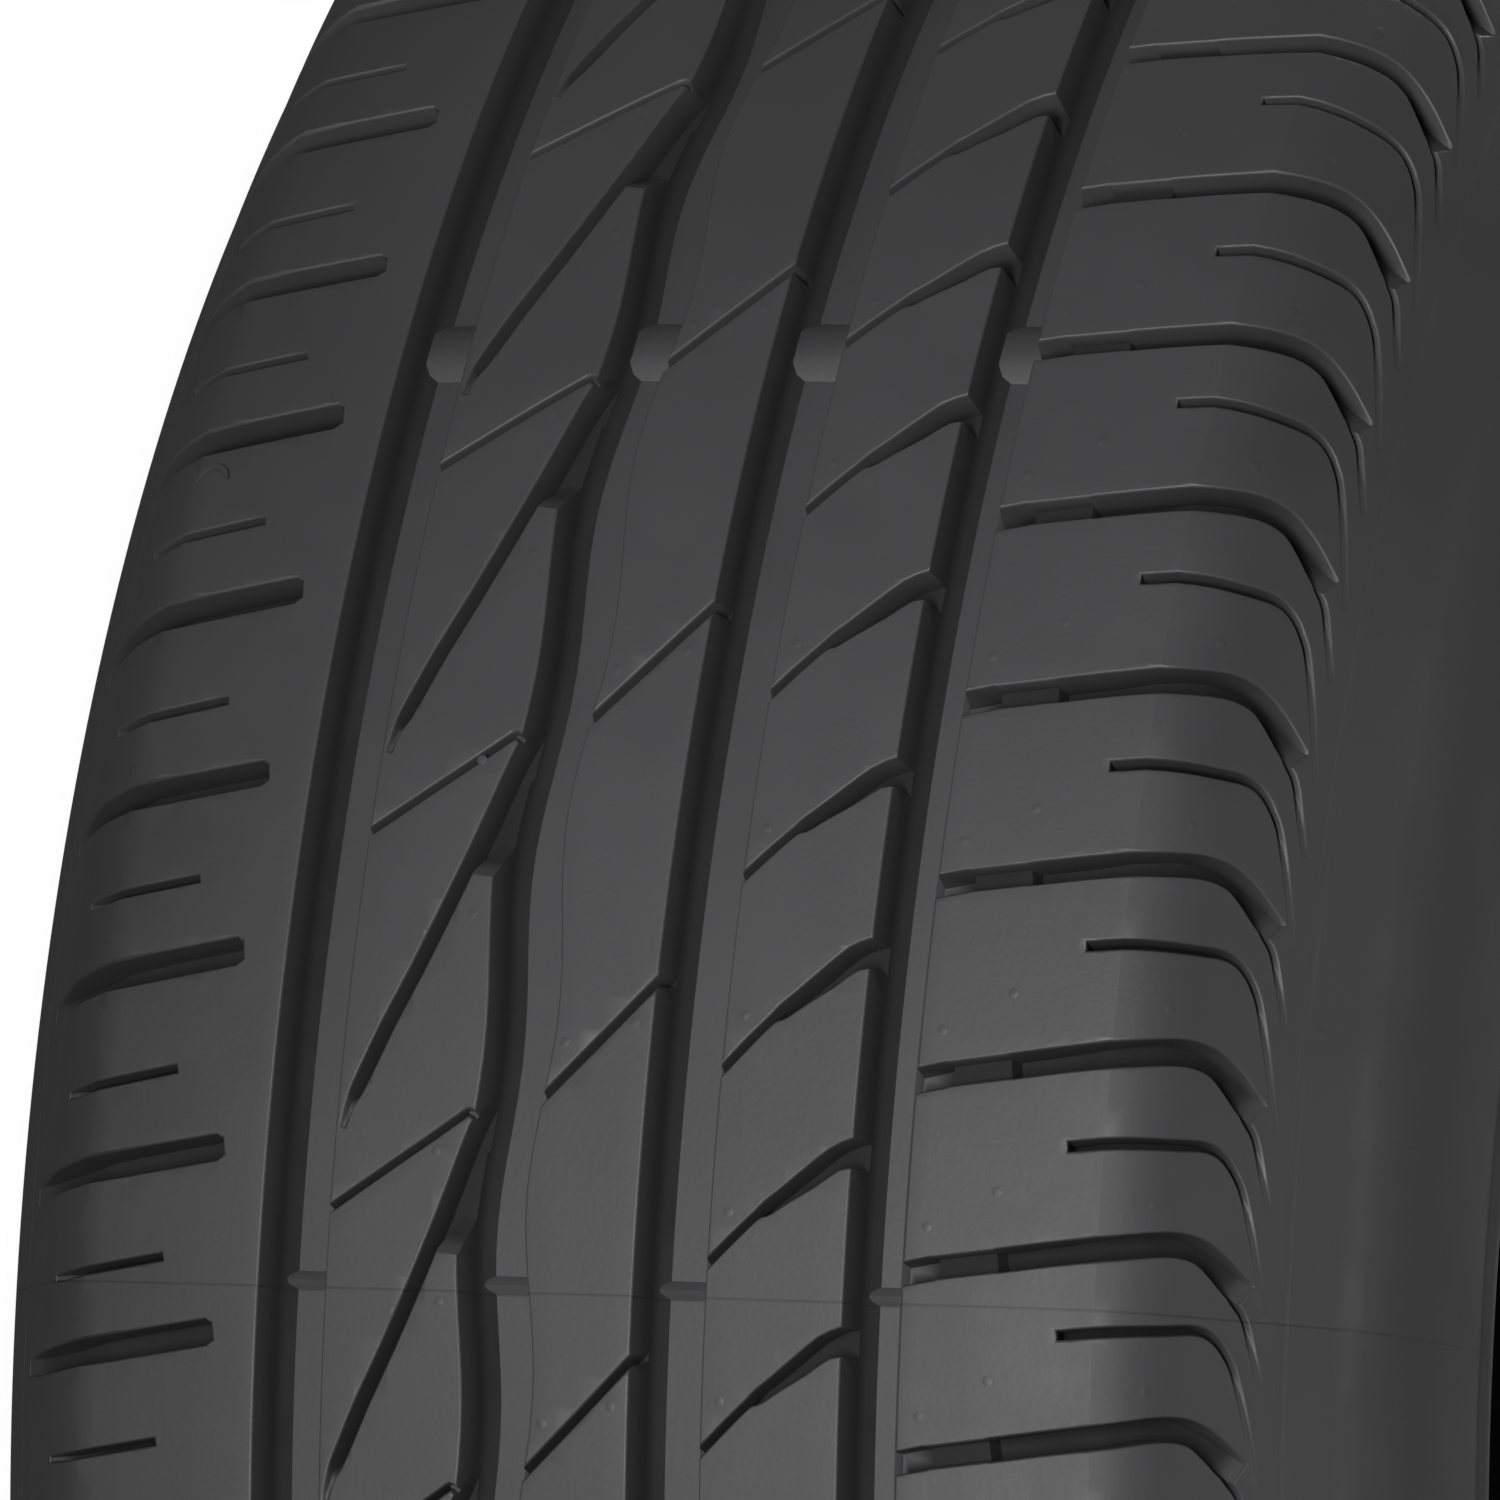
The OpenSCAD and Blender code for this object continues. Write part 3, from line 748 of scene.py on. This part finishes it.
glow.inputs["Strength"].default_value = studio["floorGlow"]
rays = nodes.new("ShaderNodeLightPath")
both = nodes.new("ShaderNodeAddShader")
mixed = nodes.new("ShaderNodeMixShader")
links.new(rays.outputs["Is Camera Ray"], mixed.inputs["Fac"])
links.new(matt.outputs["BSDF"], mixed.inputs[1])
links.new(matt.outputs["BSDF"], both.inputs[0])
links.new(glow.outputs["Emission"], both.inputs[1])
links.new(both.outputs["Shader"], mixed.inputs[2])
links.new(mixed.outputs["Shader"], nodes["Material Output"].inputs["Surface"])
floorMesh.materials.append(floorLook)

world = bpy.data.worlds.new("world")
bpy.context.scene.world = world
world.use_nodes = True
nodes, links = world.node_tree.nodes, world.node_tree.links
soft = nodes["Background"]
soft.inputs["Color"].default_value = (1, 1, 1, 1)
soft.inputs["Strength"].default_value = studio["softLight"]
white = nodes.new("ShaderNodeBackground")
white.inputs["Color"].default_value = (1, 1, 1, 1)
white.inputs["Strength"].default_value = 1
rays = nodes.new("ShaderNodeLightPath")
mixed = nodes.new("ShaderNodeMixShader")
links.new(rays.outputs["Is Camera Ray"], mixed.inputs["Fac"])
links.new(soft.outputs["Background"], mixed.inputs[1])
links.new(white.outputs["Background"], mixed.inputs[2])
links.new(mixed.outputs["Shader"], nodes["World Output"].inputs["Surface"])

for name, azimuth, elevation, distance, size, watts, target in studio["lamps"]:
    lamp = bpy.data.lights.new(name, "AREA")
    lamp.shape, lamp.size, lamp.size_y, lamp.energy = "RECTANGLE", size[0], size[1], watts
    item = bpy.data.objects.new(name, lamp)
    bpy.context.scene.collection.objects.link(item)
    a, e = math.radians(azimuth), math.radians(elevation)
    away = Vector((math.cos(a) * math.cos(e), math.sin(a) * math.cos(e), math.sin(e)))
    item.location = Vector(target) + distance * away
    item.rotation_mode = "QUATERNION"
    item.rotation_quaternion = (-away).to_track_quat("-Z", "Y")

camera = bpy.data.objects.new("camera", bpy.data.cameras.new("camera"))
bpy.context.scene.collection.objects.link(camera)
camera.location = studio["cameraPlace"]
right, up = Vector(studio["cameraRight"]), Vector(studio["cameraUp"])
camera.rotation_mode = "QUATERNION"
camera.rotation_quaternion = Matrix((right, up, right.cross(up))).transposed().to_quaternion()
camera.data.lens = studio["lens"]
camera.data.sensor_width = 36
camera.data.clip_start, camera.data.clip_end = 0.1, 100
bpy.context.scene.camera = camera
bpy.context.scene.view_settings.view_transform = "Standard"
print("floor, lamps and camera placed")
